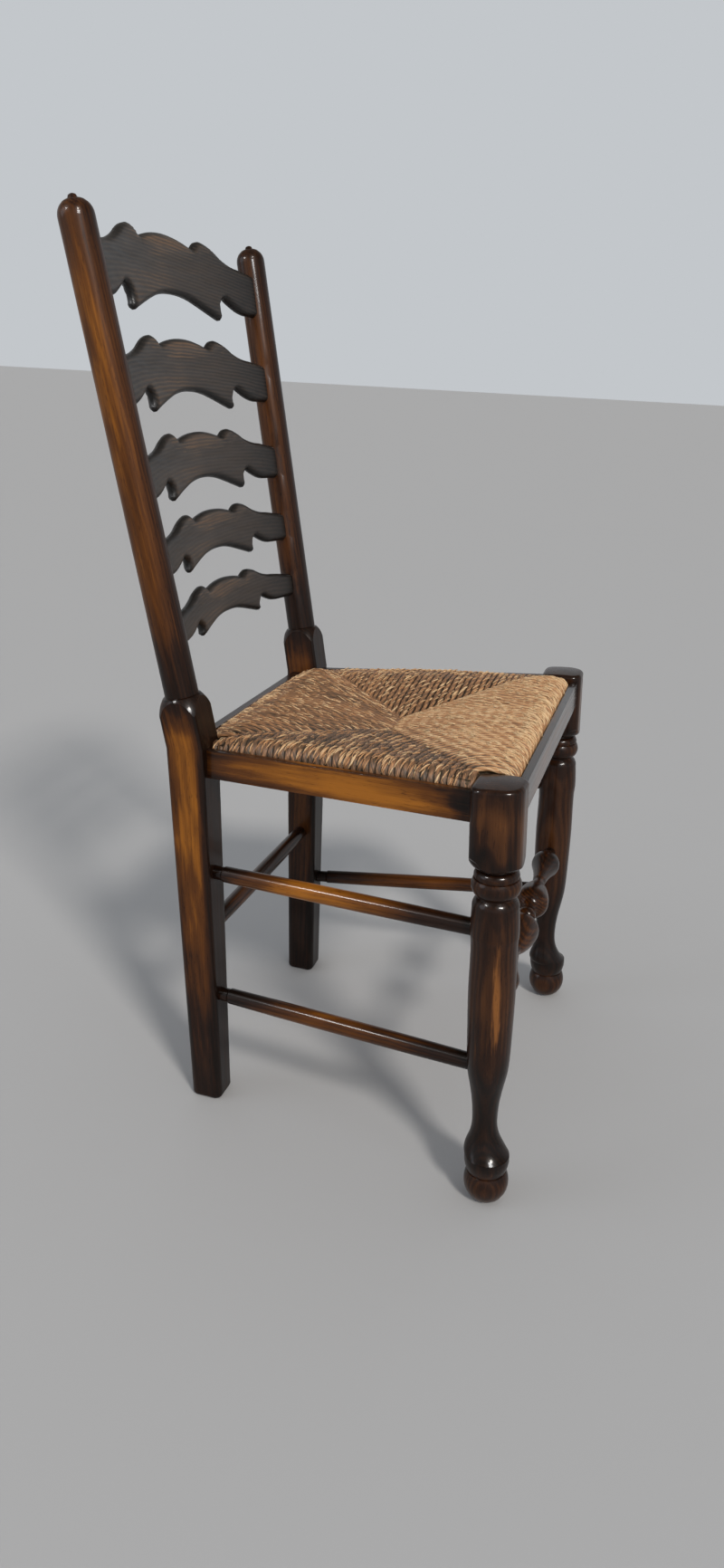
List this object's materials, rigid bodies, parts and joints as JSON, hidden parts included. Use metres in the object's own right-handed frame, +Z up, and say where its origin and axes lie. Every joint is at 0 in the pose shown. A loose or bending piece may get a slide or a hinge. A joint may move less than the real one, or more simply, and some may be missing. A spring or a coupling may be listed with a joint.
{
  "type": "ladderback chair",
  "caption": "Upright ladderback dining chair in dark polished wood with bowed shaped slats, turned front legs and stretcher, and a drop-in woven rush seat that lifts out.",
  "frame": {"origin": "on the floor, under the middle of the chair's outline", "axes": "+X to the sitter's left, +Y to the rear, +Z up; the chair faces -Y"},
  "size_m": [0.484, 0.5114, 0.9597],
  "materials": {
    "polished_wood": "dark stained and polished, glossy",
    "plain_wood": "planed and left plain",
    "rush": "twisted rush, dry and slightly shiny",
    "rush_fill": "loose rush ends",
    "screw_steel": "plain steel"
  },
  "bodies": {
    "chair_frame": {"back_rail": "polished_wood", "back_stretcher": "polished_wood", "corner_block_back_left": "plain_wood", "corner_block_back_right": "plain_wood", "corner_block_front_left": "plain_wood", "corner_block_front_right": "plain_wood", "corner_block_screws": "screw_steel", "front_leg_left": "polished_wood", "front_leg_right": "polished_wood", "front_rail": "polished_wood", "front_stretcher": "polished_wood", "lower_stretcher_left": "polished_wood", "lower_stretcher_right": "polished_wood", "rear_post_left": "polished_wood", "rear_post_right": "polished_wood", "side_rail_left": "polished_wood", "side_rail_right": "polished_wood", "slat_1": "polished_wood", "slat_2": "polished_wood", "slat_3": "polished_wood", "slat_4": "polished_wood", "slat_5": "polished_wood", "slat_pegs": "polished_wood", "upper_stretcher_left": "polished_wood", "upper_stretcher_right": "polished_wood"},
    "drop_in_seat": {"rush_stuffing": "rush_fill", "seat_frame_back": "plain_wood", "seat_frame_front": "plain_wood", "seat_frame_left": "plain_wood", "seat_frame_right": "plain_wood", "woven_rush": "rush"}
  },
  "joints": [
    {"name": "seat_lift", "type": "slide", "parent": "chair_frame", "child": "drop_in_seat", "axis": [0, 0.0619, 0.9981], "range_m": [0, 0.075]}
  ]
}
